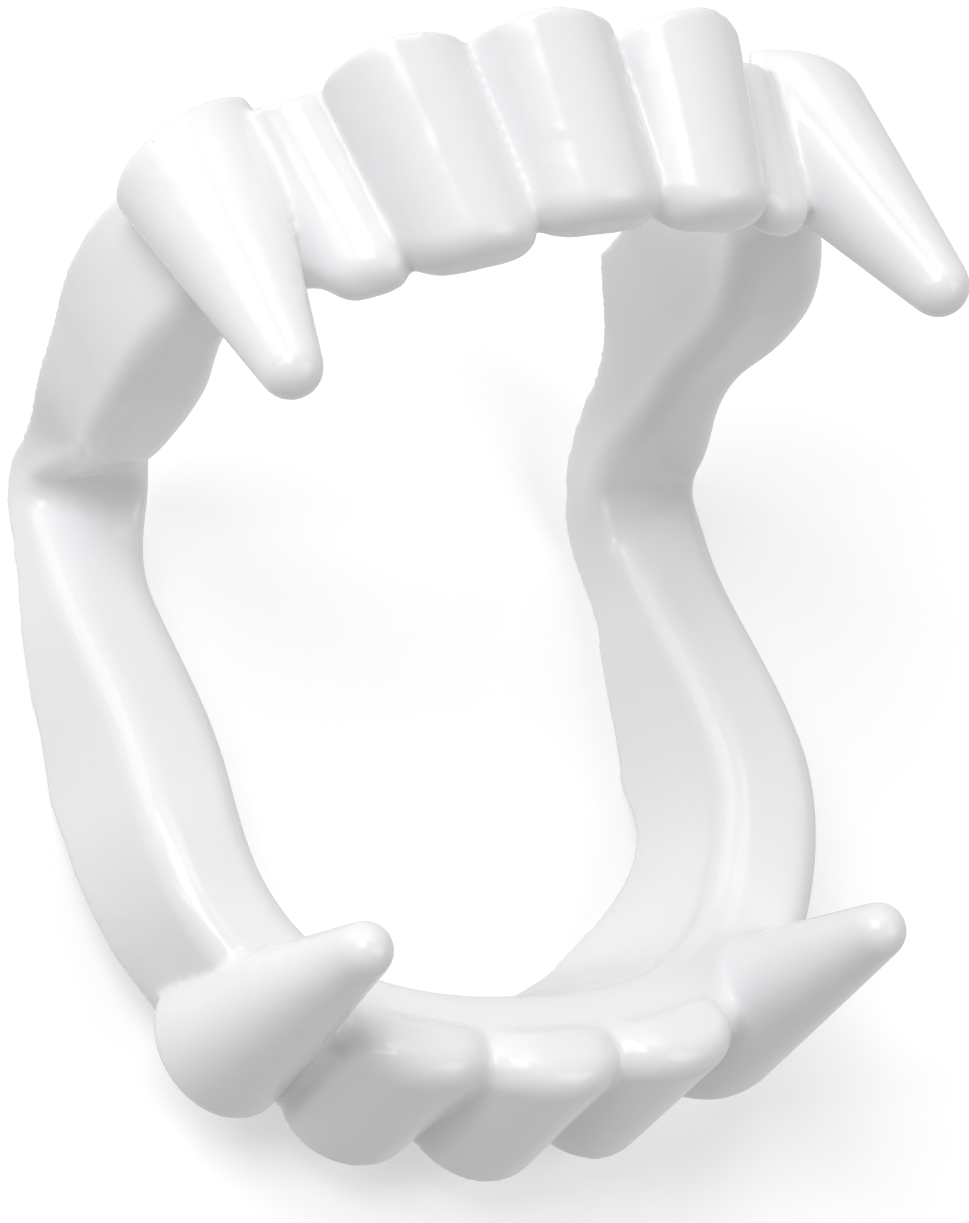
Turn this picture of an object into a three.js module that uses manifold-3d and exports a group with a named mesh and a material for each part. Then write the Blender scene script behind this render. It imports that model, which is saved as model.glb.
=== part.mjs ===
// A vampire fang denture: one soft white moulding that goes over the wearer's own teeth.
// It is a closed loop. An upper and a lower tray, each a U-shaped channel bent round
// the jaw, run into each other at two thin bends behind the corners of the mouth.
// The front wall of each tray is fluted into teeth, with a long fang at either end.
// Units are millimetres, +Z is up, and the teeth face -Y.
// It lies as it comes to rest by itself, on the gum side of the lower tray, mouth open.

import * as THREE from 'three';
import { mergeVertices } from 'three/addons/utils/BufferGeometryUtils.js';
import Module from 'manifold-3d';

// Sizes that both trays share

const biteOpening = 69;          // degrees between the two floors
const bendFilletOut = 0.9;       // inner radius where the floors meet, at the outer edge
const bendFilletIn = 3.8;        // and at the inner edge
const trayHalfWidth = 25.4;      // middle plane to the outer ridge of a floor
const stripWidth = 7.6;          // across a floor, ridge to ridge
const leftBendFlareOut = -0.2;   // the strip is this much wider outside, at the left bend
const rightBendFlareOut = 0.3;   // and at the right one
const leftBendFlareIn = 0.9;     // and this much wider inside, at the left bend
const rightBendFlareIn = 2.1;    // and at the right one
const flareLength = 9;           // along the floor, from the bend to the plain strip
const neckLength = 19;           // along the floor, over which a tray's neck is drawn in
const floorThickness = 1.9;
const wallThickness = 1.3;
const bendThickness = 2.8;       // floor and what is left of the walls, at the bend
const sideWallHeight = 9.8;      // gum edge to the floor's tooth side, beside the cheek
const cheekDraft = 0.14;         // the outer wall spreads by this much of its height
const tongueDraftStart = 20;     // forward of the bend, where the inner one turns flatter
const tongueDraftEnd = 40;
const ridgeRadius = 2.0;         // between the outer wall and the floor
const tongueRidgeRadius = 2.2;   // between the inner wall and the floor
const channelRadius = 0.8;       // in the corners of the channel
const bendSoftness = 2;          // rounds the start of the rising walls

// Sizes of the teeth

const toothWidth = 9.8;          // the middle tooth, along the ridge
const toothBulge = 4.2;          // how far it stands out at the gum edge
const incisalBulge = 2.3;        // and at the biting edge
const incisalThickness = 2.8;    // from the ridge to the back of the biting edge
const incisalRadius = 1.9;       // on the front of the biting edge
const cornerDrop = 1.2;          // the biting edge falls away by this at its corners
const toothBack = 0.9;           // from the back of the biting edge to the floor
const incisalTaper = 0.09;       // the row of teeth is this much shorter at that edge
const fangZone = 6;              // along the ridge, where the front turns into the side
const wallFollow = 0.72;         // the channel's wall follows this share of a bulge

// The two trays. Depth is from the bend to the front ridge, squareness is the
// exponent of the front curve, and sag is how far the floor drops at the front. The
// front wall runs from the floor to the gum edge, and the ramps are where walls rise,
// the cheek's slower towards its end by its ease. The drafts are by how much of its
// height a wall spreads. The neck is by how much the outer ridge is drawn in next to
// the bend, and the bow is how far the sides are bent to the left between its start and
// its end, most where it is full. Gum lean is how far the front wall leans to the left
// on its way to the gum edge, as a share of its height. The biting edge stands over the
// floor by the incisal rise. The teeth go from left to right: a tooth's width, bulge
// and rise are shares of the common ones. The gum line is by how much the front wall
// is longer at each notch and each tooth's middle, as a share of its height.

const upperTray = {
  side: 'upper',
  depth: 47.3,
  straight: 22,
  squareness: 2.1,
  sag: 2.6,
  frontWallHeight: 9.5,
  frontStripWidth: 5.8,
  frontDraft: 0.0,
  neck: 1.3,
  bow: { by: 1.3, start: 16, full: 33, end: 42 },
  gumLean: 0.11,
  tongueDraft: 0.37,
  frontTongueDraft: -0.25,
  cheekRamp: 32,
  cheekEase: 1.7,
  tongueRamp: 12,
  incisalRise: 3.3,
  teeth: [
    { width: 0.62, bulge: 0.32, rise: 1.15 },
    { width: 0.97, bulge: 1.0, rise: 1.18 },
    { width: 1.0, bulge: 1.0, rise: 0.9 },
    { width: 0.97, bulge: 1.0, rise: 1.0 },
    { width: 0.62, bulge: 0.32, rise: 0.9 },
  ],
  gumLine: [0, -0.03, -0.01, 0.09, 0.07, 0.1, 0, 0.06, -0.1, -0.16, -0.16],
};

const lowerTray = {
  side: 'lower',
  depth: 47.2,
  straight: 22,
  squareness: 2.3,
  sag: 3.8,
  frontWallHeight: 11.9,
  frontStripWidth: 7.2,
  frontDraft: -0.32,
  neck: 0,
  bow: { by: -0.8, start: 7, full: 20, end: 36 },
  gumLean: 0.05,
  tongueDraft: 0.26,
  frontTongueDraft: 0.72,
  cheekRamp: 17,
  cheekEase: 1,
  tongueRamp: 17,
  incisalRise: 1.2,
  teeth: [
    { width: 1.09, bulge: 0.8, rise: 1.0 },
    { width: 1.07, bulge: 0.9, rise: 1.0 },
    { width: 1.09, bulge: 0.8, rise: 1.0 },
  ],
  gumLine: [0, 0, 0, 0.04, 0.05, 0.1, 0.05],
};

// Fangs: a round taper with a ball end. The root is given in its tray, across from
// the middle plane to the left and to the right, forward of the bend, and the tip the
// same with its height. The setback is how far short of the gum edge each one ends.

const upperFang = {
  leftRootAcross: 22.1,
  rightRootAcross: 18.4,
  rootForward: 36.5,
  rootRadius: 5.6,
  tipAcross: 22.4,
  tipForward: 45.0,
  tipHeight: 6.3,
  tipRadius: 2.05,
  leftSetback: 0.5,
  rightSetback: 1.4,
};

const lowerFang = {
  leftRootAcross: 18.5,
  rightRootAcross: 17.8,
  rootForward: 36.0,
  rootRadius: 5.7,
  tipAcross: 18.5,
  tipForward: 46.4,
  tipHeight: 8.3,
  tipRadius: 1.9,
  leftSetback: 2.7,
  rightSetback: 1.9,
};

// The moulding is soft, and its upper tray stands a little twisted on the bends

const upperRoll = 7.0;           // degrees about the forward axis
const upperSlew = 2.7;           // degrees about the upright axis
const twistLength = 14;          // along the floor, from the bend to the full twist

// The gum edge of a fang slopes down from its front to the cheek

const fangGumSlope = 0.4;
const fangGumTurn = 48;          // degrees from straight back towards the cheek

// How finely the shape is divided

const toothSteps = 10;
const sideSteps = 15;
const bendSteps = 10;
const bendRunSteps = 2;
const curvePoints = 400;
const fangSides = 22;
const tipSteps = 6;
const channelPoints = 10;        // the last points of a section, which line the channel

const radians = THREE.MathUtils.degToRad;
const lerp = THREE.MathUtils.lerp;
const smoothstep = THREE.MathUtils.smoothstep;

// The outer ridge of a tray from the middle of the front to the bend, as points with
// the length along the ridge: a superellipse quarter and then a straight side.

const openingAngle = radians(biteOpening);
const bendClear = 0.8;           // straight floor between the bend and the first section
const bendReach = bendFilletIn / Math.tan(openingAngle / 2) + bendClear;

function ridgeCurve(tray) {
  const points = [];
  const power = 2 / tray.squareness;
  for (let i = 0; i <= curvePoints; i += 1) {
    const angle = (Math.PI / 2) * (i / curvePoints);
    points.push({
      across: trayHalfWidth * Math.sin(angle) ** power,
      forward: tray.straight + (tray.depth - tray.straight) * Math.cos(angle) ** power,
    });
  }
  points[curvePoints].forward = tray.straight;
  for (let i = 1; i <= curvePoints; i += 1) {
    const forward = lerp(tray.straight, bendReach, i / curvePoints);
    points.push({ across: trayHalfWidth, forward });
  }
  let length = 0;
  points[0].length = 0;
  for (let i = 1; i < points.length; i += 1) {
    const step = Math.hypot(
      points[i].across - points[i - 1].across,
      points[i].forward - points[i - 1].forward,
    );
    length += step;
    points[i].length = length;
  }
  return points;
}

// A place on the ridge at a length from the middle of the front, with the way out
// of the mouth there. The length is negative to the left.

function ridgeAt(tray, length) {
  const along = Math.abs(length);
  const side = length < 0 ? -1 : 1;
  const points = tray.curve;
  let next = 1;
  while (next < points.length - 1 && points[next].length < along) {
    next += 1;
  }
  const from = points[next - 1];
  const to = points[next];
  const share = THREE.MathUtils.clamp((along - from.length) / (to.length - from.length), 0, 1);
  const runAcross = to.across - from.across;
  const runForward = to.forward - from.forward;
  const run = Math.hypot(runAcross, runForward);
  return {
    across: side * lerp(from.across, to.across, share),
    forward: lerp(from.forward, to.forward, share),
    outAcross: (side * -runForward) / run,
    outForward: runAcross / run,
  };
}

// The tooth at a length along the ridge: how far along it, from -1 to 1, its row in
// the table, and where the row stands in it

function toothAt(tray, length) {
  let start = -teethReach(tray);
  for (const [at, row] of tray.teeth.entries()) {
    const width = row.width * toothWidth;
    if (length >= start && length <= start + width) {
      return { place: (length - start) / (width / 2) - 1, width, row, at };
    }
    start += width;
  }
  return null;
}

function teethReach(tray) {
  return tray.teeth.reduce((sum, row) => sum + row.width * toothWidth, 0) / 2;
}

// How much longer the front wall is there, as a share of its height

function gumShare(tray, length) {
  const tooth = toothAt(tray, length);
  if (!tooth) {
    return length < 0 ? tray.gumLine[0] : tray.gumLine.at(-1);
  }
  const along = tooth.at * 2 + 1 + tooth.place;
  const from = Math.min(Math.floor(along), tray.gumLine.length - 2);
  return lerp(tray.gumLine[from], tray.gumLine[from + 1], along - from);
}

// A bulge's height over its chord: an arc through both notches and its own crest

function arcHeight(place, width, crest) {
  const half = width / 2;
  const radius = (half * half + crest * crest) / (2 * crest);
  const offset = place * half;
  return Math.sqrt(Math.max(radius * radius - offset * offset, 0)) - (radius - crest);
}

// One section of the tray, as points across the strip from the outer ridge inwards
// and up towards the teeth. It starts at the outer gum edge and runs over the floor.

function sectionPoints(tray, length, forward) {
  const along = Math.abs(length);
  const atBend = 1 - smoothstep(forward, 0, flareLength);
  const frontness = 1 - smoothstep(along, tray.teethLength, tray.frontLength);
  const toothness = 1 - smoothstep(along, tray.teethLength, tray.teethLength + fangZone);
  const flareOut = length < 0 ? leftBendFlareOut : rightBendFlareOut;
  const flareIn = length < 0 ? leftBendFlareIn : rightBendFlareIn;
  const neck = neckAt(tray, forward);
  const outer = neck - flareOut * atBend;
  const inner = lerp(stripWidth, tray.frontStripWidth, frontness) + flareIn * atBend;
  const floor = -tray.sag * frontness;
  const draft = lerp(cheekDraft, tray.frontDraft, frontness);
  const flatness = smoothstep(forward, tongueDraftStart, tongueDraftEnd);
  const tongueSlope = lerp(tray.tongueDraft, tray.frontTongueDraft, flatness);
  const longer = 1 + gumShare(tray, length) * toothness;
  const cheekHeight = wallHeight(tray, forward, frontness, tray.cheekRamp, tray.cheekEase) * longer;
  const spread = draft * cheekHeight + neck;
  const tongueHeight = wallHeight(tray, forward, frontness, tray.tongueRamp, 1);

  const tooth = toothAt(tray, length);
  const crest = tooth ? toothBulge * tooth.row.bulge : 0;
  const edgeCrest = tooth ? incisalBulge * tooth.row.bulge : 0;
  const gumBulge = tooth ? arcHeight(tooth.place, tooth.width, crest) : 0;
  const edgeBulge = tooth ? arcHeight(tooth.place, tooth.width, edgeCrest) : 0;
  const fullRise = tray.incisalRise * (tooth ? tooth.row.rise : 1);
  const drop = tooth ? cornerDrop * tooth.place ** 4 : cornerDrop;
  const rise = (fullRise - drop) * toothness;
  const top = floor + rise;
  const round = Math.min(lerp(ridgeRadius, incisalRadius, toothness), cheekHeight * 0.45);
  const edgeBack = lerp(round * 1.3, incisalThickness, toothness);
  const back = lerp(ridgeRadius, toothBack, toothness);

  // The outer face, from the gum edge up, and the biting edge or outer ridge
  const points = [];
  const gum = floor - cheekHeight;
  const wallSpan = top - round - gum;
  for (const share of [0, 0.3, 0.6, 0.82, 1]) {
    const bulge = lerp(gumBulge, edgeBulge, share);
    points.push([outer - spread * (1 - share) - bulge, gum + wallSpan * share]);
  }
  for (const step of [1, 2, 3]) {
    const angle = (Math.PI / 2) * (step / 3);
    const across = outer - edgeBulge + round * (1 - Math.cos(angle));
    points.push([across, top - round + round * Math.sin(angle)]);
  }
  points.push([outer + edgeBack - round * 0.1, top - rise * 0.1]);
  points.push([outer + edgeBack + back * 0.3, floor + rise * 0.3]);
  points.push([outer + edgeBack + back, floor]);

  // The inner ridge and the face towards the tongue
  const innerRound = Math.min(tongueRidgeRadius, tongueHeight * 0.45);
  for (const step of [0, 1, 2, 3]) {
    const angle = (Math.PI / 2) * (step / 3);
    const across = inner - innerRound + innerRound * Math.sin(angle);
    points.push([across, floor - innerRound + innerRound * Math.cos(angle)]);
  }
  const tongueSpan = tongueHeight - innerRound;
  for (const share of [0.5, 1]) {
    points.push([inner + tongueSlope * tongueSpan * share, floor - innerRound - tongueSpan * share]);
  }

  // The channel: down the inner wall, over its ceiling, and up the outer wall
  const ceiling = floor - floorThickness;
  const tongueDepth = tongueHeight - floorThickness;
  const innerFillet = Math.min(channelRadius, tongueDepth * 0.6);
  const innerFace = inner - wallThickness;
  points.push([innerFace + tongueSlope * tongueSpan, floor - tongueHeight]);
  const innerMiddle = (innerFillet + tongueDepth) / 2;
  points.push([innerFace + tongueSlope * tongueDepth * 0.5, ceiling - innerMiddle]);
  points.push([innerFace, ceiling - innerFillet]);
  points.push([innerFace - innerFillet * 0.3, ceiling - innerFillet * 0.3]);
  points.push([innerFace - innerFillet, ceiling]);

  const cheekDepth = cheekHeight - floorThickness;
  const outerFillet = Math.min(channelRadius, cheekDepth * 0.6);
  const outerFace = outer + wallThickness;
  const follow = gumBulge * wallFollow;
  const outerMiddle = (outerFillet + cheekDepth) / 2;
  points.push([outerFace + outerFillet - follow * 0.3, ceiling]);
  points.push([outerFace + outerFillet * 0.3 - follow * 0.35, ceiling - outerFillet * 0.3]);
  points.push([outerFace - follow * 0.4, ceiling - outerFillet]);
  points.push([outerFace - spread * 0.4 - follow * 0.7, ceiling - outerMiddle]);
  points.push([outerFace - spread - follow, gum]);
  return points;
}

function neckAt(tray, forward) {
  return tray.neck * Math.sin(Math.PI * Math.min(forward / neckLength, 1)) ** 2;
}

function bowAt(tray, forward) {
  const { by, start, full, end } = tray.bow;
  return by * smoothstep(forward, start, full) * (1 - smoothstep(forward, full, end));
}

// How far a wall reaches from the floor to its gum edge: next to nothing at the bend,
// rising evenly along the side, and the front's own height behind the teeth

function wallHeight(tray, forward, frontness, ramp, ease) {
  const reached = Math.min((Math.hypot(forward, bendSoftness) - bendSoftness) / ramp, 1);
  const rising = 1 - (1 - reached) ** ease;
  const side = lerp(bendThickness, sideWallHeight, rising);
  return lerp(side, tray.frontWallHeight, frontness);
}

// Each tray's plane. Forward and up are in the lower tray's own frame, where the
// lower floor is level and the bend's line is the X axis.

function trayAxes(tray) {
  if (tray.side === 'lower') {
    return { forward: [1, 0], tooth: [0, 1] };
  }
  const cos = Math.cos(openingAngle);
  const sin = Math.sin(openingAngle);
  return { forward: [cos, sin], tooth: [sin, -cos] };
}

function twisted(point, forward) {
  const share = smoothstep(forward, 0, twistLength);
  const roll = new THREE.Vector3(0, -1, 0);
  const slew = new THREE.Vector3(0, 0, 1);
  point.applyAxisAngle(roll, radians(upperRoll) * share);
  point.applyAxisAngle(slew, radians(upperSlew) * share);
  return point;
}

// A point of a tray, from across, forward and tooth height, in the whole's frame

function trayPoint(tray, across, forward, height) {
  const axes = trayAxes(tray);
  const ahead = forward * axes.forward[0] + height * axes.tooth[0];
  const up = forward * axes.forward[1] + height * axes.tooth[1];
  const point = new THREE.Vector3(across, -ahead, up);
  return tray.side === 'upper' ? twisted(point, forward) : point;
}

function trayRing(tray, length) {
  const { forward } = ridgeAt(tray, length);
  const section = sectionPoints(tray, length, forward);
  const fade = 1 - smoothstep(Math.abs(length), tray.teethLength, tray.teethLength + fangZone);
  const toothHeight = tray.frontWallHeight + tray.incisalRise;
  return section.map(([inwards, height]) => {
    const share = 1 + (height + tray.sag - tray.incisalRise) / toothHeight;
    const place = ridgeAt(tray, length * (1 - incisalTaper * share * fade));
    const sideways = tray.gumLean * height * fade - bowAt(tray, forward);
    return trayPoint(
      tray,
      place.across - place.outAcross * inwards + sideways,
      place.forward - place.outForward * inwards,
      height,
    );
  });
}

// The bend: the same section carried straight on from one floor, round the fillet,
// and straight on to the other. The fillet widens from the outer edge to the inner.

function bendRing(side, run, turnShare) {
  const isUpper = run > 0 || turnShare < 0.5;
  const tray = isUpper ? upperTray : lowerTray;
  const turn = lerp(openingAngle - Math.PI / 2, Math.PI / 2, turnShare);
  const axes = trayAxes(tray);
  const flat = sectionPoints(tray, side * tray.length, 0);
  return flat.map(([flatInwards], i) => {
    const across = THREE.MathUtils.clamp(flatInwards / stripWidth, 0, 1);
    const fillet = lerp(bendFilletOut, bendFilletIn, across);
    const reach = fillet / Math.tan(openingAngle / 2);
    const straight = (bendReach - reach) * Math.abs(run);
    const forward = straight + reach * Math.abs(turnShare * 2 - 1);
    const [inwards, height] = sectionPoints(tray, side * tray.length, forward)[i];
    const centre = fillet / Math.sin(openingAngle / 2);
    const out = height - fillet;
    const ahead = centre * Math.cos(openingAngle / 2) + out * Math.cos(turn)
      + straight * axes.forward[0];
    const up = centre * Math.sin(openingAngle / 2) + out * Math.sin(turn)
      + straight * axes.forward[1];
    const point = new THREE.Vector3(side * (trayHalfWidth - inwards), -ahead, up);
    return isUpper ? twisted(point, forward) : point;
  });
}

// The lengths along a tray, from its left bend to its right one, where sections stand

function trayStations(tray) {
  const front = [];
  let start = -teethReach(tray);
  for (const row of tray.teeth) {
    const width = row.width * toothWidth;
    for (let i = 0; i < toothSteps; i += 1) {
      front.push(start + (width / 2) * (1 - Math.cos((Math.PI * i) / toothSteps)));
    }
    start += width;
  }
  const sideways = [];
  for (let i = 0; i <= sideSteps; i += 1) {
    sideways.push(lerp(start, tray.length, i / sideSteps));
  }
  const left = sideways.slice(1).reverse().map((length) => -length);
  return [...left, ...front, ...sideways];
}

function prepare(tray) {
  tray.curve = ridgeCurve(tray);
  tray.length = tray.curve[tray.curve.length - 1].length;
  tray.frontLength = tray.curve[curvePoints].length;
  tray.teethLength = teethReach(tray);
}

prepare(upperTray);
prepare(lowerTray);

// The sections of one bend, from the upper tray to the lower one

function bendRings(side) {
  const rings = [];
  for (let i = bendRunSteps - 1; i > 0; i -= 1) {
    rings.push(bendRing(side, i / bendRunSteps, 0));
  }
  for (let i = 0; i <= bendSteps; i += 1) {
    rings.push(bendRing(side, 0, i / bendSteps));
  }
  for (let i = 1; i < bendRunSteps; i += 1) {
    rings.push(bendRing(side, -i / bendRunSteps, 1));
  }
  return rings;
}

// All sections in order round the loop: the upper tray from left to right, down the
// right bend, the lower tray from right to left, and up the left bend.

function loopRings() {
  const rings = [];
  for (const length of trayStations(upperTray)) {
    rings.push(trayRing(upperTray, length));
  }
  rings.push(...bendRings(1));
  for (const length of trayStations(lowerTray).reverse()) {
    rings.push(trayRing(lowerTray, length));
  }
  rings.push(...bendRings(-1).reverse());
  return rings;
}

// Rings joined into one closed skin: each ring is closed, and so is the row of them

function skin(rings) {
  const count = rings[0].length;
  const positions = rings.flat().flatMap((point) => [point.x, point.y, point.z]);
  const index = [];
  for (let i = 0; i < rings.length; i += 1) {
    const here = i * count;
    const next = ((i + 1) % rings.length) * count;
    for (let j = 0; j < count; j += 1) {
      const k = (j + 1) % count;
      const quad = [here + j, here + k, next + k, next + j];
      index.push(quad[0], quad[1], quad[2], quad[0], quad[2], quad[3]);
    }
  }
  const geometry = new THREE.BufferGeometry();
  geometry.setAttribute('position', new THREE.Float32BufferAttribute(positions, 3));
  geometry.setIndex(index);
  return geometry;
}

function eachTriangle(geometry, visit) {
  const position = geometry.getAttribute('position');
  const index = geometry.getIndex();
  for (let i = 0; i < index.count; i += 3) {
    const corners = [0, 1, 2].map((corner) => index.getX(i + corner));
    const [a, b, c] = corners.map((at) => new THREE.Vector3().fromBufferAttribute(position, at));
    visit(a, b, c);
  }
}

function signedVolume(geometry) {
  let volume = 0;
  eachTriangle(geometry, (a, b, c) => {
    volume += a.dot(b.clone().cross(c)) / 6;
  });
  return volume;
}

// A geometry with its faces pointing out, whichever way its maker left them

function facingOut(geometry) {
  if (signedVolume(geometry) < 0) {
    geometry.index.array.reverse();
  }
  return geometry;
}

// Solids for joining and cutting

const wasm = await Module();
wasm.setup();

function solid(geometry) {
  const bare = geometry.clone();
  bare.deleteAttribute('normal');
  bare.deleteAttribute('uv');
  const merged = mergeVertices(bare, 1e-4);
  return new wasm.Manifold(new wasm.Mesh({
    numProp: 3,
    vertProperties: new Float32Array(merged.getAttribute('position').array),
    triVerts: new Uint32Array(merged.getIndex().array),
  }));
}

function loopSolid(rings) {
  return solid(facingOut(skin(rings)));
}

// A tray's own frame at the front, where the twist is full: across, forward and
// towards the tooth tips, with its zero on the line of the bend

function trayFrame(tray) {
  const far = tray.depth;
  const zero = trayPoint(tray, 0, far, 0);
  const across = trayPoint(tray, 1, far, 0).sub(zero);
  const forward = trayPoint(tray, 0, far + 1, 0).sub(zero);
  const tooth = trayPoint(tray, 0, far, 1).sub(zero);
  const frame = new THREE.Matrix4().makeBasis(across, forward, tooth);
  return frame.setPosition(zero.addScaledVector(forward, -far));
}

function rootAcross(fang, side) {
  return side < 0 ? -fang.leftRootAcross : fang.rightRootAcross;
}

// A fang, before it is trimmed: its taper runs on past the gum edge

function fangBlank(tray, fang, side) {
  const gum = -tray.sag - tray.frontWallHeight;
  const root = new THREE.Vector3(rootAcross(fang, side), fang.rootForward, gum);
  const tip = new THREE.Vector3(side * fang.tipAcross, fang.tipForward, fang.tipHeight);
  const axis = tip.clone().sub(root);
  const length = axis.length();
  const slope = Math.asin((fang.rootRadius - fang.tipRadius) / length);
  const spare = fang.rootRadius;
  const profile = [
    new THREE.Vector2(0, -spare),
    new THREE.Vector2(fang.rootRadius / Math.cos(slope) + spare * Math.tan(slope), -spare),
  ];
  for (let i = 0; i <= tipSteps; i += 1) {
    const angle = lerp(slope, Math.PI / 2, i / tipSteps);
    const radius = i === tipSteps ? 0 : fang.tipRadius * Math.cos(angle);
    profile.push(new THREE.Vector2(radius, length + fang.tipRadius * Math.sin(angle)));
  }
  const blank = new THREE.LatheGeometry(profile, fangSides);
  const turn = new THREE.Quaternion().setFromUnitVectors(
    new THREE.Vector3(0, 1, 0),
    axis.normalize(),
  );
  blank.applyQuaternion(turn);
  blank.translate(root.x, root.y, root.z);
  return blank;
}

// What the fangs are trimmed with: all that lies past the gum edge, which slopes

function gumTrim(tray, fang, side) {
  const gum = -tray.sag - tray.frontWallHeight;
  const size = 2 * (trayHalfWidth + tray.depth);
  const block = new THREE.BoxGeometry(size, size, size);
  block.translate(0, 0, -size / 2);
  block.rotateX(-Math.atan(fangGumSlope));
  block.rotateZ(side * radians(fangGumTurn));
  const setback = side < 0 ? fang.leftSetback : fang.rightSetback;
  return block.translate(rootAcross(fang, side), fang.rootForward, gum + setback);
}

// The hollow of the channel all round the loop, open past the gum edges

function channelRings(rings) {
  return rings.map((ring) => {
    const hollow = ring.slice(-channelPoints);
    const first = hollow[0];
    const last = hollow[hollow.length - 1];
    const deep = first.clone().sub(hollow[2]).setLength(sideWallHeight);
    return [first.clone().add(deep), ...hollow, last.clone().add(deep)];
  });
}

const rings = loopRings();
const channel = loopSolid(channelRings(rings));
let moulding = loopSolid(rings);
for (const [tray, fang] of [[upperTray, upperFang], [lowerTray, lowerFang]]) {
  const frame = trayFrame(tray);
  for (const side of [-1, 1]) {
    const blank = facingOut(fangBlank(tray, fang, side).applyMatrix4(frame));
    const trim = facingOut(gumTrim(tray, fang, side).applyMatrix4(frame));
    moulding = moulding.add(solid(blank).subtract(solid(trim)).subtract(channel));
  }
}

// How it lies: seen from the side, it rests on an edge of its outline that passes
// under the centre of its mass, and of these the one nearest to the lower floor.

function bodyGeometry(shape) {
  const mesh = shape.getMesh();
  const body = new THREE.BufferGeometry();
  const position = new THREE.Float32BufferAttribute(mesh.vertProperties, 3);
  body.setAttribute('position', position);
  body.setIndex(new THREE.Uint32BufferAttribute(mesh.triVerts, 1));
  return body;
}

function massCentre(geometry) {
  const centre = new THREE.Vector3();
  let volume = 0;
  eachTriangle(geometry, (a, b, c) => {
    const part = a.dot(b.clone().cross(c)) / 6;
    volume += part;
    centre.addScaledVector(a.clone().add(b).add(c), part / 4);
  });
  return centre.divideScalar(volume);
}

function sideOutline(geometry) {
  const position = geometry.getAttribute('position');
  const points = [];
  for (let i = 0; i < position.count; i += 1) {
    points.push([position.getY(i), position.getZ(i)]);
  }
  points.sort((one, two) => one[0] - two[0] || one[1] - two[1]);
  const under = [];
  for (const point of points) {
    while (under.length > 1 && turnsDown(under.at(-2), under.at(-1), point)) {
      under.pop();
    }
    under.push(point);
  }
  return under;
}

function turnsDown(one, two, three) {
  return (two[0] - one[0]) * (three[1] - one[1]) - (two[1] - one[1]) * (three[0] - one[0]) <= 0;
}

function restTilt(geometry) {
  const centre = massCentre(geometry);
  const under = sideOutline(geometry);
  let tilt = Math.PI / 2;
  for (let i = 1; i < under.length; i += 1) {
    const [fromY, fromZ] = under[i - 1];
    const [toY, toZ] = under[i];
    const run = Math.hypot(toY - fromY, toZ - fromZ);
    const along = ((centre.y - fromY) * (toY - fromY) + (centre.z - fromZ) * (toZ - fromZ)) / run;
    const turn = -Math.atan2(toZ - fromZ, toY - fromY);
    if (along > 0 && along < run && Math.abs(turn) < Math.abs(tilt)) {
      tilt = turn;
    }
  }
  return tilt;
}

const body = bodyGeometry(moulding);
body.rotateX(restTilt(body));
body.computeBoundingBox();
const middle = body.boundingBox.getCenter(new THREE.Vector3());
body.translate(-middle.x, -middle.y, -body.boundingBox.min.z);

// Glossy white soft plastic

const plastic = new THREE.MeshStandardMaterial({
  color: 0xf3f3f5,
  roughness: 0.16,
  metalness: 0,
});

const denture = new THREE.Mesh(body, plastic);
denture.name = 'fang_denture';

const vampireFangs = new THREE.Group();
vampireFangs.add(denture);

export default vampireFangs;
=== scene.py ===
# A vampire fang denture: one glossy white plastic moulding, worn over the teeth.
# It lies on a pale floor as it comes to rest by itself, with its mouth open.

from math import asin, atan, cos, hypot, pi, radians, sin, sqrt, tan

import bpy
import numpy as np
from mathutils import Matrix, Vector


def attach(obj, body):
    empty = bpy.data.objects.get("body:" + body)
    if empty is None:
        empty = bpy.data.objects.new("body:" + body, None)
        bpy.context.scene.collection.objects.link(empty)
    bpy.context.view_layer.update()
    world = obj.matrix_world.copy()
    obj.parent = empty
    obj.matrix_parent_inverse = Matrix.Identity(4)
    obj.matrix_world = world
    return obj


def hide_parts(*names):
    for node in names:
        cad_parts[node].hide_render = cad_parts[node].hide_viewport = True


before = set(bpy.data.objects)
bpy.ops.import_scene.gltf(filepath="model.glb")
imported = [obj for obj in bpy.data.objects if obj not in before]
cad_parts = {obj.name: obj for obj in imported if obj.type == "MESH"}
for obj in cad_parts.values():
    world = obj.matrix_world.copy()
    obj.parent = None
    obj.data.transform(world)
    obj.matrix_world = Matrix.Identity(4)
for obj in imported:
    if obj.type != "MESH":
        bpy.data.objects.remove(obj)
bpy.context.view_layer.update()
bpy.ops.object.select_all(action="DESELECT")

# The camera stands where the photograph was taken from: about half a metre off, to the
# left of the denture and well above it, with a long lens and the picture turned.

camera_place = Vector((-0.220380, -0.133529, 0.427282))
camera_aim = Vector((-0.002449, 0.000814, 0.024945))
camera_up = Vector((0.01317, 0.94627, 0.32310))
camera_lens = 217.9
long_side = 36.0

looking = (camera_aim - camera_place).normalized()
right = looking.cross(camera_up).normalized()
upright = right.cross(looking)
bpy.ops.object.camera_add(location=camera_place)
camera = bpy.context.object
camera.name = "camera"
camera.rotation_euler = Matrix((right, upright, -looking)).transposed().to_euler()
camera.data.lens = camera_lens
camera.data.sensor_width = long_side
bpy.context.scene.camera = camera

# The trays: two U-shaped channels of soft white plastic round the jaws, which run into
# each other at two thin bends. Sizes are millimetres in the closed mould's own frame,
# with the bends' line as its X axis, the lower floor level and the teeth towards -Y.
# The section changes all the way round, so the loop is laid out point by point.

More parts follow.
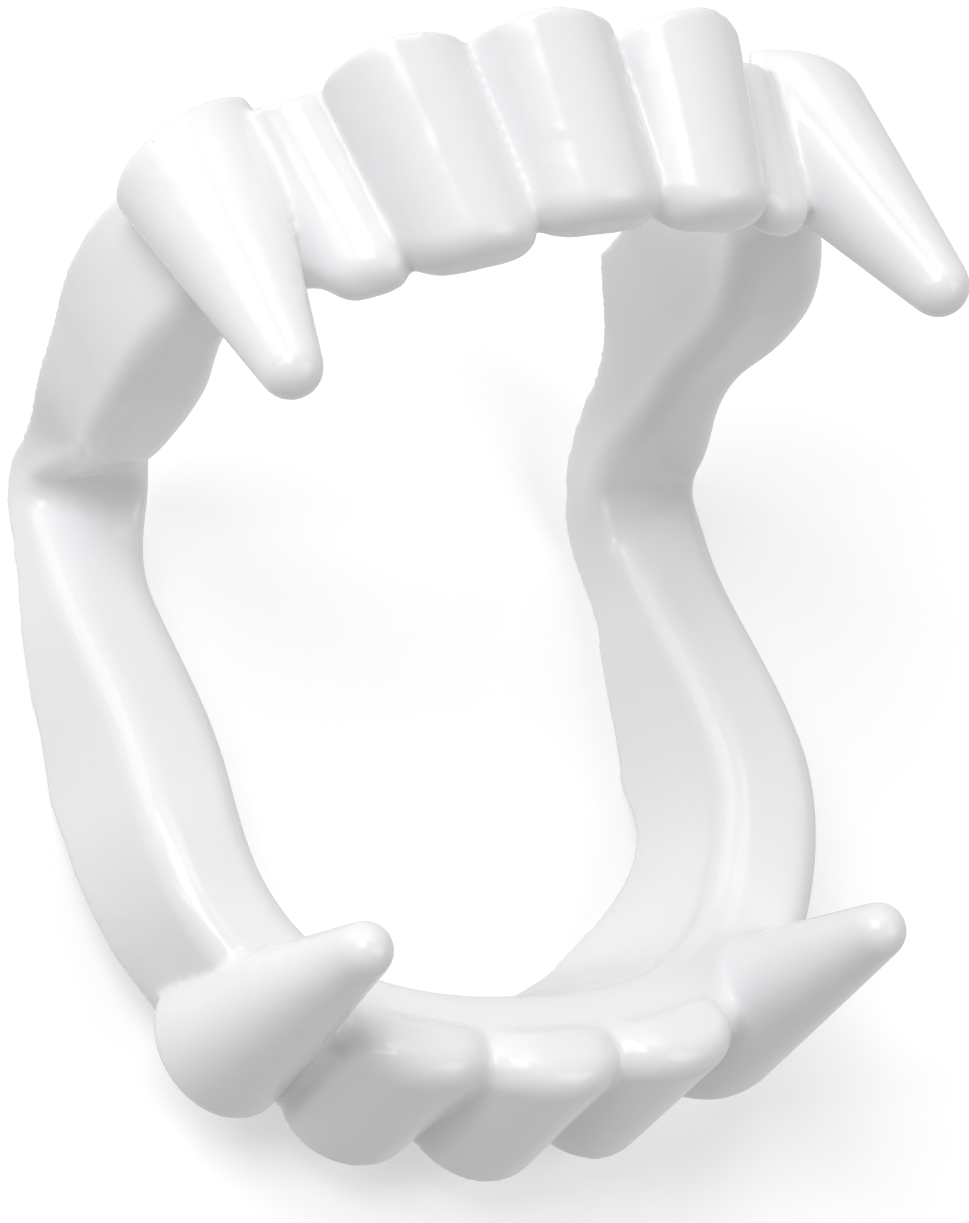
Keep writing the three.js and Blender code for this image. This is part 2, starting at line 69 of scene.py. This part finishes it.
mm = 0.001
bite_opening = radians(69)
bend_fillet_out = 0.9
bend_fillet_in = 3.8
bend_clear = 0.8
half_width = 25.4
strip_width = 7.6
bend_flare_out = {-1: -0.2, 1: 0.3}
bend_flare_in = {-1: 0.9, 1: 2.1}
flare_length = 9
neck_length = 19
floor_thickness = 1.9
wall_thickness = 1.3
bend_thickness = 2.8
side_wall_height = 9.8
cheek_draft = 0.14
tongue_draft_start = 20
tongue_draft_end = 40
ridge_radius = 2.0
tongue_ridge_radius = 2.2
channel_radius = 0.8
bend_softness = 2
tooth_width = 9.8
tooth_bulge = 4.2
incisal_bulge = 2.3
incisal_thickness = 2.8
incisal_radius = 1.9
corner_drop = 1.2
tooth_back = 0.9
incisal_taper = 0.09
fang_zone = 6
wall_follow = 0.72
upper_roll = radians(7.0)
upper_slew = radians(2.7)
twist_length = 14
most_rounding = 0.45
tooth_stations_per_mm = 3.4
bend_reach = bend_fillet_in / tan(bite_opening / 2) + bend_clear

upper_tray = {
    "upper": True, "depth": 47.3, "straight": 22, "squareness": 2.1, "sag": 2.6,
    "wall": 9.5, "strip": 5.8, "draft": 0.0, "neck": 1.3, "bow": (1.3, 16, 33, 42),
    "lean": 0.11, "tongue_draft": (0.37, -0.25), "cheek": 32, "ease": 1.7, "tongue": 12,
    "rise": 3.3,
    "teeth": (
        (0.62, 0.32, 1.15), (0.97, 1.0, 1.18), (1.0, 1.0, 0.9), (0.97, 1.0, 1.0), (0.62, 0.32, 0.9)
    ),
    "gum_line": (0, -0.03, -0.01, 0.09, 0.07, 0.1, 0, 0.06, -0.1, -0.16, -0.16),
}
lower_tray = {
    "upper": False, "depth": 47.2, "straight": 22, "squareness": 2.3, "sag": 3.8,
    "wall": 11.9, "strip": 7.2, "draft": -0.32, "neck": 0, "bow": (-0.8, 7, 20, 36),
    "lean": 0.05, "tongue_draft": (0.26, 0.72), "cheek": 17, "ease": 1, "tongue": 17,
    "rise": 1.2,
    "teeth": ((1.09, 0.8, 1.0), (1.07, 0.9, 1.0), (1.09, 0.8, 1.0)),
    "gum_line": (0, 0, 0, 0.04, 0.05, 0.1, 0.05),
}


def mix(low, high, share):
    return low + (high - low) * share


def smooth(value, low, high):
    share = min(max((value - low) / (high - low), 0.0), 1.0)
    return share * share * (3 - 2 * share)


def lay_out_ridge(tray):
    angle = np.linspace(0, pi / 2, 900)
    power = 2 / tray["squareness"]
    across = half_width * np.sin(angle) ** power
    forward = tray["straight"] + (tray["depth"] - tray["straight"]) * np.cos(angle) ** power
    forward[-1] = tray["straight"]
    across = np.append(across, half_width)
    forward = np.append(forward, bend_reach)
    steps = np.hypot(np.diff(across), np.diff(forward))
    length = np.append(0, np.cumsum(steps))
    tray["across"], tray["forward"], tray["along"] = across, forward, length
    tray["length"], tray["front"] = length[-1], length[-2]
    tray["row"] = sum(tooth[0] for tooth in tray["teeth"]) * tooth_width / 2


def ridge_at(tray, length):
    side = -1 if length < 0 else 1
    probe = 0.15
    along = np.clip([abs(length) - probe, abs(length), abs(length) + probe], 0, tray["length"])
    across = np.interp(along, tray["along"], tray["across"])
    forward = np.interp(along, tray["along"], tray["forward"])
    run_across, run_forward = across[2] - across[0], forward[2] - forward[0]
    run = hypot(run_across, run_forward)
    return side * across[1], forward[1], -side * run_forward / run, run_across / run


def tooth_at(tray, length):
    start = -tray["row"]
    for at, (share, bulge, rise) in enumerate(tray["teeth"]):
        width = share * tooth_width
        if start <= length <= start + width:
            return (length - start) / (width / 2) - 1, width, bulge, rise, at
        start += width
    return None


def gum_share(tray, tooth, length):
    line = tray["gum_line"]
    if not tooth:
        return line[0] if length < 0 else line[-1]
    return np.interp(tooth[4] * 2 + 1 + tooth[0], range(len(line)), line)


def bow_at(tray, forward):
    by, start, full, end = tray["bow"]
    return by * smooth(forward, start, full) * (1 - smooth(forward, full, end))


def arc_height(place, width, crest):
    half = width / 2
    radius = (half * half + crest * crest) / (2 * crest)
    return sqrt(max(radius * radius - (place * half) ** 2, 0)) - (radius - crest)


def wall_height(tray, forward, frontness, ramp, ease):
    reached = min((hypot(forward, bend_softness) - bend_softness) / ramp, 1)
    rising = 1 - (1 - reached) ** ease
    return mix(mix(bend_thickness, side_wall_height, rising), tray["wall"], frontness)


def section(tray, length, forward):
    along = abs(length)
    side = -1 if length < 0 else 1
    at_bend = 1 - smooth(forward, 0, flare_length)
    frontness = 1 - smooth(along, tray["row"], tray["front"])
    toothness = 1 - smooth(along, tray["row"], tray["row"] + fang_zone)
    neck = tray["neck"] * sin(pi * min(forward / neck_length, 1)) ** 2
    outer = neck - bend_flare_out[side] * at_bend
    inner = mix(strip_width, tray["strip"], frontness) + bend_flare_in[side] * at_bend
    floor = -tray["sag"] * frontness
    draft = mix(cheek_draft, tray["draft"], frontness)
    slope = mix(*tray["tongue_draft"], smooth(forward, tongue_draft_start, tongue_draft_end))
    tooth = tooth_at(tray, length)
    longer = 1 + gum_share(tray, tooth, length) * toothness
    cheek = wall_height(tray, forward, frontness, tray["cheek"], tray["ease"]) * longer
    tongue = wall_height(tray, forward, frontness, tray["tongue"], 1)
    spread = draft * cheek + neck

    place, width, bulge, rise_share, _ = tooth if tooth else (1, 1, 0, 1, 0)
    gum_bulge = arc_height(place, width, tooth_bulge * bulge) if tooth else 0
    edge_bulge = arc_height(place, width, incisal_bulge * bulge) if tooth else 0
    drop = corner_drop * place ** 4 if tooth else corner_drop
    rise = (tray["rise"] * rise_share - drop) * toothness
    top = floor + rise
    rounding = min(mix(ridge_radius, incisal_radius, toothness), cheek * most_rounding)
    edge_back = mix(rounding * 1.3, incisal_thickness, toothness)
    back = mix(ridge_radius, tooth_back, toothness)

    points = []
    gum = floor - cheek
    for share in np.linspace(0, 1, 10):
        out = spread * (1 - share) + mix(gum_bulge, edge_bulge, share)
        points.append((outer - out, mix(gum, top - rounding, share)))
    for angle in np.linspace(0, pi / 2, 9)[1:]:
        inwards = outer - edge_bulge + rounding * (1 - cos(angle))
        points.append((inwards, top - rounding * (1 - sin(angle))))
    ledge_start = outer + edge_back + back
    crown_end = outer - edge_bulge + rounding
    for share in np.linspace(0, 1, 13)[1:]:
        fall = smooth(mix(crown_end, ledge_start, share), outer + edge_back - back, ledge_start)
        points.append((mix(crown_end, ledge_start, share), mix(top, floor, fall)))

    inner_round = min(tongue_ridge_radius, tongue * most_rounding)
    for angle in np.linspace(0, pi / 2, 8):
        points.append((inner - inner_round * (1 - sin(angle)), floor - inner_round * (1 - cos(angle))))
    span = tongue - inner_round
    for share in np.linspace(0, 1, 7)[1:]:
        points.append((inner + slope * span * share, floor - inner_round - span * share))

    ceiling = floor - floor_thickness
    deep = tongue - floor_thickness
    fillet = min(channel_radius, deep * 0.6)
    face = inner - wall_thickness
    middle = (fillet + deep) / 2
    hollow = [
        (face + slope * span, floor - tongue),
        (face + slope * deep * 0.5, ceiling - middle),
        (face, ceiling - fillet),
        (face - fillet * 0.3, ceiling - fillet * 0.3),
        (face - fillet, ceiling),
    ]
    deep = cheek - floor_thickness
    fillet = min(channel_radius, deep * 0.6)
    face = outer + wall_thickness
    follow = gum_bulge * wall_follow
    middle = (fillet + deep) / 2
    hollow += [
        (face + fillet - follow * 0.3, ceiling),
        (face + fillet * 0.3 - follow * 0.35, ceiling - fillet * 0.3),
        (face - follow * 0.4, ceiling - fillet),
        (face - spread * 0.4 - follow * 0.7, ceiling - middle),
        (face - spread - follow, gum),
    ]
    return points + hollow


hollow_count = 10


def tray_axes(tray):
    if not tray["upper"]:
        return (1, 0), (0, 1)
    return (cos(bite_opening), sin(bite_opening)), (sin(bite_opening), -cos(bite_opening))


def twisted(point, forward):
    share = smooth(forward, 0, twist_length)
    roll = Matrix.Rotation(upper_roll * share, 3, Vector((0, -1, 0)))
    slew = Matrix.Rotation(upper_slew * share, 3, Vector((0, 0, 1)))
    return slew @ (roll @ point)


def tray_point(tray, across, forward, height):
    ahead, tooth = tray_axes(tray)
    point = Vector((
        across,
        -(forward * ahead[0] + height * tooth[0]),
        forward * ahead[1] + height * tooth[1],
    ))
    return twisted(point, forward) if tray["upper"] else point


def tray_ring(tray, length):
    _, forward, _, _ = ridge_at(tray, length)
    bow = bow_at(tray, forward)
    fade = 1 - smooth(abs(length), tray["row"], tray["row"] + fang_zone)
    ring = []
    for inwards, height in section(tray, length, forward):
        share = 1 + (height + tray["sag"] - tray["rise"]) / (tray["wall"] + tray["rise"])
        drawn_in = length * (1 - incisal_taper * share * fade)
        across, ahead, out_across, out_ahead = ridge_at(tray, drawn_in)
        across += tray["lean"] * height * fade - bow
        ring.append(tray_point(tray, across - out_across * inwards, ahead - out_ahead * inwards, height))
    return ring


def bend_ring(side, run, turn_share):
    tray = upper_tray if run > 0 or turn_share < 0.5 else lower_tray
    turn = mix(bite_opening - pi / 2, pi / 2, turn_share)
    ahead_axis, _ = tray_axes(tray)
    ring = []
    for i, (flat, _) in enumerate(section(tray, side * tray["length"], 0)):
        across = min(max(flat / strip_width, 0), 1)
        fillet = mix(bend_fillet_out, bend_fillet_in, across)
        reach = fillet / tan(bite_opening / 2)
        straight = (bend_reach - reach) * abs(run)
        forward = straight + reach * abs(turn_share * 2 - 1)
        inwards, height = section(tray, side * tray["length"], forward)[i]
        centre = fillet / sin(bite_opening / 2)
        out = height - fillet
        ahead = centre * cos(bite_opening / 2) + out * cos(turn) + straight * ahead_axis[0]
        up = centre * sin(bite_opening / 2) + out * sin(turn) + straight * ahead_axis[1]
        point = Vector((side * (half_width - inwards), -ahead, up))
        ring.append(twisted(point, forward) if tray["upper"] else point)
    return ring


def tray_stations(tray):
    front = []
    start = -tray["row"]
    for share, _, _ in tray["teeth"]:
        width = share * tooth_width
        steps = round(width * tooth_stations_per_mm)
        front += [start + width / 2 * (1 - cos(pi * i / steps)) for i in range(steps)]
        start += width
    sideways = list(np.linspace(start, tray["length"], 64))
    return [-length for length in reversed(sideways[1:])] + front + sideways


def bend_rings(side):
    runs = [bend_ring(side, share, 0) for share in (0.75, 0.5, 0.25)]
    turns = [bend_ring(side, 0, share) for share in np.linspace(0, 1, 31)]
    out = [bend_ring(side, -share, 1) for share in (0.25, 0.5, 0.75)]
    return runs + turns + out


def loop_mesh(name, rings):
    count = len(rings[0])
    faces = []
    for i in range(len(rings)):
        here, after = i * count, (i + 1) % len(rings) * count
        for j in range(count):
            k = (j + 1) % count
            faces.append((here + j, here + k, after + k, after + j))
    mesh = bpy.data.meshes.new(name)
    mesh.from_pydata([point * mm for ring in rings for point in ring], [], faces)
    loop = bpy.data.objects.new(name, mesh)
    bpy.context.collection.objects.link(loop)
    bpy.ops.object.select_all(action="DESELECT")
    loop.select_set(True)
    bpy.context.view_layer.objects.active = loop
    bpy.ops.object.mode_set(mode="EDIT")
    bpy.ops.mesh.select_all(action="SELECT")
    bpy.ops.mesh.normals_make_consistent(inside=False)
    bpy.ops.object.mode_set(mode="OBJECT")
    return loop


lay_out_ridge(upper_tray)
lay_out_ridge(lower_tray)
rings = [tray_ring(upper_tray, length) for length in tray_stations(upper_tray)]
rings += bend_rings(1)
rings += [tray_ring(lower_tray, length) for length in reversed(tray_stations(lower_tray))]
rings += list(reversed(bend_rings(-1)))
moulding = loop_mesh("moulding", rings)

hollows = []
for ring in rings:
    hollow = ring[-hollow_count:]
    deep = (hollow[0] - hollow[2]).normalized() * side_wall_height
    hollows.append([hollow[0] + deep] + hollow + [hollow[-1] + deep])
channel = loop_mesh("channel", hollows)

# The fangs: long round tapers with ball ends, one at each end of each row of teeth.
# Each is a cone that is cut off at the gum edge and hollowed with the channel.

upper_fang = {
    "root_across": {-1: 22.1, 1: 18.4}, "root_forward": 36.5, "root_radius": 5.6,
    "tip": (22.4, 45.0, 6.3), "tip_radius": 2.05, "setback": {-1: 0.5, 1: 1.4},
}
lower_fang = {
    "root_across": {-1: 18.5, 1: 17.8}, "root_forward": 36.0, "root_radius": 5.7,
    "tip": (18.5, 46.4, 8.3), "tip_radius": 1.9, "setback": {-1: 2.7, 1: 1.9},
}
fang_gum_slope = 0.4
fang_gum_turn = radians(48)
fang_edge = 0.8


def tray_frame(tray):
    far = tray["depth"]
    zero = tray_point(tray, 0, far, 0)
    across = tray_point(tray, 1, far, 0) - zero
    forward = tray_point(tray, 0, far + 1, 0) - zero
    tooth = tray_point(tray, 0, far, 1) - zero
    turn = Matrix((across, forward, tooth)).transposed().to_4x4()
    return Matrix.Translation(zero - forward * far) @ turn


def select_only(piece):
    bpy.ops.object.select_all(action="DESELECT")
    piece.select_set(True)
    bpy.context.view_layer.objects.active = piece


def finish_with(piece, kind, **settings):
    modifier = piece.modifiers.new(kind.lower(), kind)
    for name, value in settings.items():
        setattr(modifier, name, value)
    select_only(piece)
    bpy.ops.object.modifier_apply(modifier=modifier.name)


def make_fang(tray, fang, side):
    gum = -tray["sag"] - tray["wall"]
    root = Vector((side * fang["root_across"][side], fang["root_forward"], gum))
    tip = Vector((side * fang["tip"][0], fang["tip"][1], fang["tip"][2]))
    axis = tip - root
    slope = asin((fang["root_radius"] - fang["tip_radius"]) / axis.length)
    spare = fang["root_radius"]
    wide = fang["root_radius"] / cos(slope) + spare * tan(slope)
    narrow = fang["tip_radius"] * cos(slope)
    height = axis.length + spare + fang["tip_radius"] * sin(slope)
    bpy.ops.mesh.primitive_cone_add(
        vertices=96, radius1=wide * mm, radius2=narrow * mm, depth=height * mm
    )
    piece = bpy.context.object
    bpy.ops.object.mode_set(mode="EDIT")
    bpy.ops.mesh.select_all(action="SELECT")
    bpy.ops.transform.translate(value=(0, 0, (height / 2 - spare) * mm))
    bpy.ops.object.mode_set(mode="OBJECT")
    bpy.ops.mesh.primitive_uv_sphere_add(
        segments=96, ring_count=48, radius=fang["tip_radius"] * mm, location=(0, 0, axis.length * mm)
    )
    ball = bpy.context.object
    bpy.ops.object.transform_apply(location=True, rotation=False, scale=False)
    finish_with(piece, "BOOLEAN", object=ball, operation="UNION", solver="EXACT")
    bpy.data.objects.remove(ball)
    turn = Vector((0, 0, 1)).rotation_difference(axis.normalized()).to_matrix().to_4x4()
    piece.data.transform(Matrix.Translation(root * mm) @ turn)
    tilt = Matrix.Rotation(-atan(fang_gum_slope), 3, "X")
    slant = Matrix.Rotation(side * fang_gum_turn, 3, "Z") @ tilt
    cut_through = root + Vector((0, 0, fang["setback"][side]))
    select_only(piece)
    bpy.ops.object.mode_set(mode="EDIT")
    bpy.ops.mesh.select_all(action="SELECT")
    bpy.ops.mesh.bisect(
        plane_co=cut_through * mm, plane_no=slant @ Vector((0, 0, 1)), use_fill=True, clear_inner=True
    )
    bpy.ops.mesh.bevel(offset=fang_edge * mm, segments=5, affect="EDGES")
    bpy.ops.object.mode_set(mode="OBJECT")
    place = tray_frame(tray)
    place.translation *= mm
    piece.data.transform(place)
    finish_with(piece, "BOOLEAN", object=channel, operation="DIFFERENCE", solver="EXACT")
    return piece


fangs = []
for side in (-1, 1):
    fangs.append(make_fang(upper_tray, upper_fang, side))
    fangs.append(make_fang(lower_tray, lower_fang, side))
bpy.data.objects.remove(channel)

# The whole moulding: trays and fangs are one shot of plastic. Its edges come out of
# the mould rounded, and the fangs run into the trays in small fillets. It is turned
# to lie as it comes to rest, on the lower gum edge and the backs of the bends.

rest_turn = radians(-22.574817)
rest_shift = Vector((2.083570, 17.324872, 2.427442))
grain_size = 0.2
most_faces = 190000

select_only(moulding)
for fang in fangs:
    fang.select_set(True)
bpy.ops.object.join()
moulding.data.transform(
    Matrix.Translation(rest_shift * mm) @ Matrix.Rotation(rest_turn, 4, "X")
)
finish_with(moulding, "REMESH", mode="VOXEL", voxel_size=grain_size * mm, use_smooth_shade=True)
finish_with(moulding, "SMOOTH", factor=0.5, iterations=28)
face_count = sum(len(face.vertices) - 2 for face in moulding.data.polygons)
finish_with(moulding, "DECIMATE", ratio=min(1.0, most_faces / face_count))
bpy.ops.object.shade_smooth()

# The finish: an even, cool white that is clouded a little from place to place, with the
# soft gloss of a polished mould and its faint ripples.


class Socket:
    def __init__(self, tree, output):
        self.tree, self.output = tree, output

    def value(self, operation, other):
        return node_of(self.tree, "ShaderNodeMath", {"operation": operation}, {0: self, 1: other})

    def __add__(self, other):
        return self.value("ADD", other)

    def __mul__(self, other):
        return self.value("MULTIPLY", other)

    __radd__, __rmul__ = __add__, __mul__


def node_of(tree, kind, settings, inputs, output=0):
    node = tree.nodes.new(kind)
    for name, value in settings.items():
        setattr(node, name, value)
    for name, value in inputs.items():
        if isinstance(value, Socket):
            tree.links.new(value.output, node.inputs[name])
        else:
            node.inputs[name].default_value = value
    return Socket(tree, node.outputs[output])


plastic = bpy.data.materials.new("white_plastic")
plastic.use_nodes = True
tree = plastic.node_tree
pale_white = (0.83, 0.83, 0.845, 1.0)
clear_white = (0.88, 0.88, 0.89, 1.0)
ripple_depth = 0.0007
shader = tree.nodes["Principled BSDF"]
place = node_of(tree, "ShaderNodeTexCoord", {}, {}, output="Object")
cloud = node_of(tree, "ShaderNodeTexNoise", {}, {"Vector": place, "Scale": 70.0, "Detail": 3.0})
tone = node_of(
    tree,
    "ShaderNodeMix",
    {"data_type": "RGBA"},
    {"Factor": cloud, 6: pale_white, 7: clear_white},
    output=2,
)
wave = node_of(
    tree, "ShaderNodeTexNoise", {}, {"Vector": place, "Scale": 170.0, "Detail": 1.0, "Distortion": 1.2}
)
gloss = 0.13 + 0.06 * cloud
bump = node_of(
    tree, "ShaderNodeBump", {}, {"Strength": 0.12, "Distance": ripple_depth, "Height": wave}
)
tree.links.new(tone.output, shader.inputs["Base Color"])
tree.links.new(gloss.output, shader.inputs["Roughness"])
tree.links.new(bump.output, shader.inputs["Normal"])
shader.inputs["IOR"].default_value = 1.42
moulding.data.materials.clear()
moulding.data.materials.append(plastic)
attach(moulding, "root")
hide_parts("fang_denture")

# The floor: a wide white sheet that is lit from underneath, as on a light table, so
# that shadows on it stay faint. Its light goes up to the lens, and only part of it
# reaches the plastic, which keeps the undersides grey.

floor_width = 6.0

bpy.ops.mesh.primitive_plane_add(size=floor_width)
floor = bpy.context.object
floor.name = "floor"
light_table = bpy.data.materials.new("light_table")
light_table.use_nodes = True
tree = light_table.node_tree
top_sheet = tree.nodes["Principled BSDF"]
top_sheet.inputs["Base Color"].default_value = (0.72, 0.72, 0.725, 1.0)
top_sheet.inputs["Roughness"].default_value = 0.9
top_sheet.inputs["Emission Color"].default_value = (1.0, 1.0, 1.0, 1.0)
top_sheet.inputs["Emission Strength"].default_value = 0.39
glow_below = tree.nodes.new("ShaderNodeBsdfPrincipled")
glow_below.inputs["Base Color"].default_value = (0.2, 0.2, 0.2, 1.0)
glow_below.inputs["Roughness"].default_value = 1.0
glow_below.inputs["Specular IOR Level"].default_value = 0.0
glow_below.inputs["Emission Color"].default_value = (1.0, 1.0, 1.0, 1.0)
glow_below.inputs["Emission Strength"].default_value = 0.54
ray = tree.nodes.new("ShaderNodeLightPath")
either = tree.nodes.new("ShaderNodeMixShader")
tree.links.new(ray.outputs["Is Camera Ray"], either.inputs[0])
tree.links.new(glow_below.outputs[0], either.inputs[1])
tree.links.new(top_sheet.outputs[0], either.inputs[2])
tree.links.new(either.outputs[0], tree.nodes["Material Output"].inputs["Surface"])
floor.data.materials.append(light_table)

# The light: dim surroundings, soft panels high at the left, the front and the back, a
# low one at the left, and a narrow strip that draws the long reflections on the teeth.
# Each stands at an angle round the denture, from +Y towards +X, and above the floor.

surroundings = 0.2

world = bpy.data.worlds.new("surroundings")
world.use_nodes = True
world.node_tree.nodes["Background"].inputs["Color"].default_value = (1.0, 1.0, 1.0, 1.0)
world.node_tree.nodes["Background"].inputs["Strength"].default_value = surroundings
bpy.context.scene.world = world
bpy.context.scene.view_settings.view_transform = "Standard"


def soft_light(name, round_by, above, distance, size, watts):
    turn, rise = radians(round_by), radians(above)
    direction = Vector((sin(turn) * cos(rise), cos(turn) * cos(rise), sin(rise)))
    centre = Vector((0, 0, camera_aim.z))
    bpy.ops.object.light_add(type="AREA", location=centre + direction * distance)
    light = bpy.context.object
    light.name = name
    light.rotation_euler = direction.to_track_quat("Z", "Y").to_euler()
    light.data.shape = "RECTANGLE"
    light.data.size, light.data.size_y = size
    light.data.energy = watts


soft_light("key", -60, 55, 1.0, (0.5, 0.5), 4.0)
soft_light("side", -45, 18, 1.0, (0.7, 0.7), 3.0)
soft_light("front", 120, 55, 1.0, (0.6, 0.6), 2.7)
soft_light("back", 0, 55, 1.0, (0.5, 0.5), 1.5)
soft_light("strip", -88, 46, 0.9, (0.08, 0.9), 1.1)
